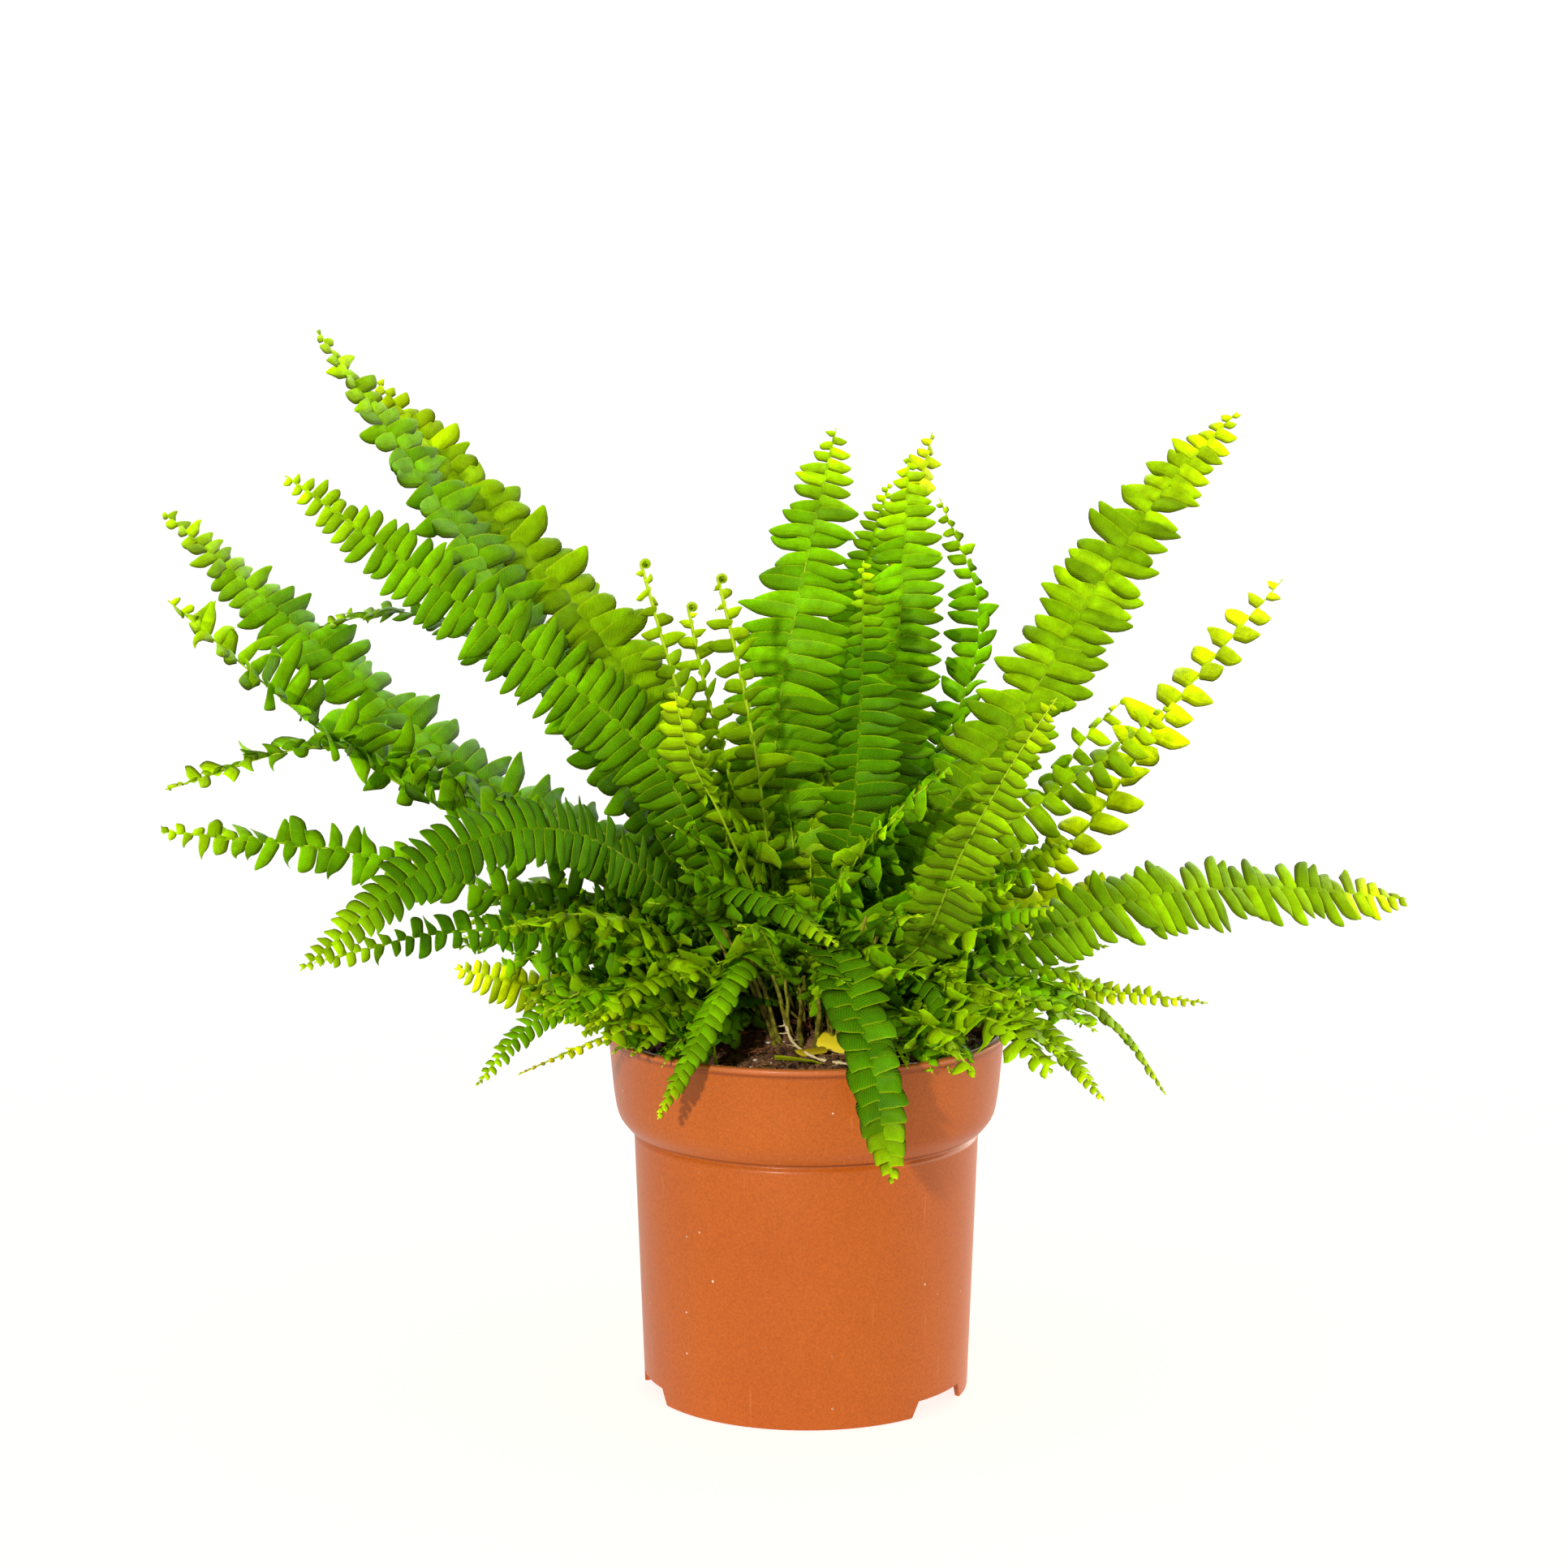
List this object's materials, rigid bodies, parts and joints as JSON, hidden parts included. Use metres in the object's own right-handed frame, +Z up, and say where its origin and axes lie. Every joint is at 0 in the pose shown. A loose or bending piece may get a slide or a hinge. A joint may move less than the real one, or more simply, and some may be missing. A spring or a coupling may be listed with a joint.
{
  "type": "potted fern",
  "caption": "Sword fern in a round, slightly tapering plastic nursery pot: upright and arching fronds with two rows of leaflets grow from a fibrous crown in dark soil.",
  "frame": {"origin": "on the pot's axis, on the surface that the pot stands on", "axes": "+Z up; +X to the right along the plant's widest spread; the front is towards -Y"},
  "size_m": [0.3923, 0.2094, 0.315],
  "materials": {
    "pot_plastic": "satin, fine-grained",
    "peat_soil": "rough, damp",
    "fibrous_crown": "rough, fibrous",
    "leaf_dark": "soft sheen",
    "leaf_mid": "soft sheen",
    "leaf_bright": "soft sheen",
    "leaf_lime": "soft sheen",
    "runner_skin": "matte",
    "dead_leaf": "matte, dry"
  },
  "bodies": {
    "root": {"pot": "pot_plastic", "soil": "peat_soil", "crown": "fibrous_crown", "frond_left_1": "leaf_mid", "frond_left_2": "leaf_bright", "frond_left_3": "leaf_mid", "frond_left_4": "leaf_bright", "frond_left_5": "leaf_mid", "frond_left_6": "leaf_mid", "frond_left_7": "leaf_dark", "frond_left_8": "leaf_mid", "frond_left_9": "leaf_mid", "frond_left_10": "leaf_dark", "frond_left_11": "leaf_lime", "frond_left_12": "leaf_mid", "frond_left_13": "leaf_bright", "frond_left_14": "leaf_dark", "frond_front_1": "leaf_mid", "frond_front_2": "leaf_mid", "frond_front_3": "leaf_dark", "frond_front_4": "leaf_bright", "frond_front_5": "leaf_dark", "frond_front_6": "leaf_bright", "frond_front_7": "leaf_mid", "frond_front_8": "leaf_dark", "frond_centre_1": "leaf_mid", "frond_centre_2": "leaf_mid", "frond_centre_3": "leaf_dark", "frond_centre_4": "leaf_mid", "frond_centre_5": "leaf_lime", "frond_centre_6": "leaf_mid", "crozier_1": "leaf_bright", "crozier_2": "leaf_bright", "crozier_3": "leaf_bright", "frond_right_1": "leaf_bright", "frond_right_2": "leaf_bright", "frond_right_3": "leaf_lime", "frond_right_4": "leaf_bright", "frond_right_5": "leaf_bright", "frond_right_6": "leaf_mid", "frond_right_7": "leaf_bright", "frond_right_8": "leaf_lime", "frond_right_9": "leaf_bright", "frond_right_10": "leaf_bright", "frond_right_11": "leaf_lime", "frond_right_12": "leaf_mid", "frond_right_13": "leaf_dark", "frond_right_14": "leaf_mid", "frond_right_15": "leaf_mid", "frond_back_1": "leaf_mid", "frond_back_2": "leaf_mid", "frond_back_3": "leaf_mid", "frond_back_4": "leaf_dark", "frond_back_5": "leaf_dark", "frond_back_6": "leaf_mid", "frond_back_7": "leaf_mid", "frond_back_8": "leaf_dark", "runner": "runner_skin", "fallen_leaflet": "dead_leaf"}
  },
  "joints": []
}
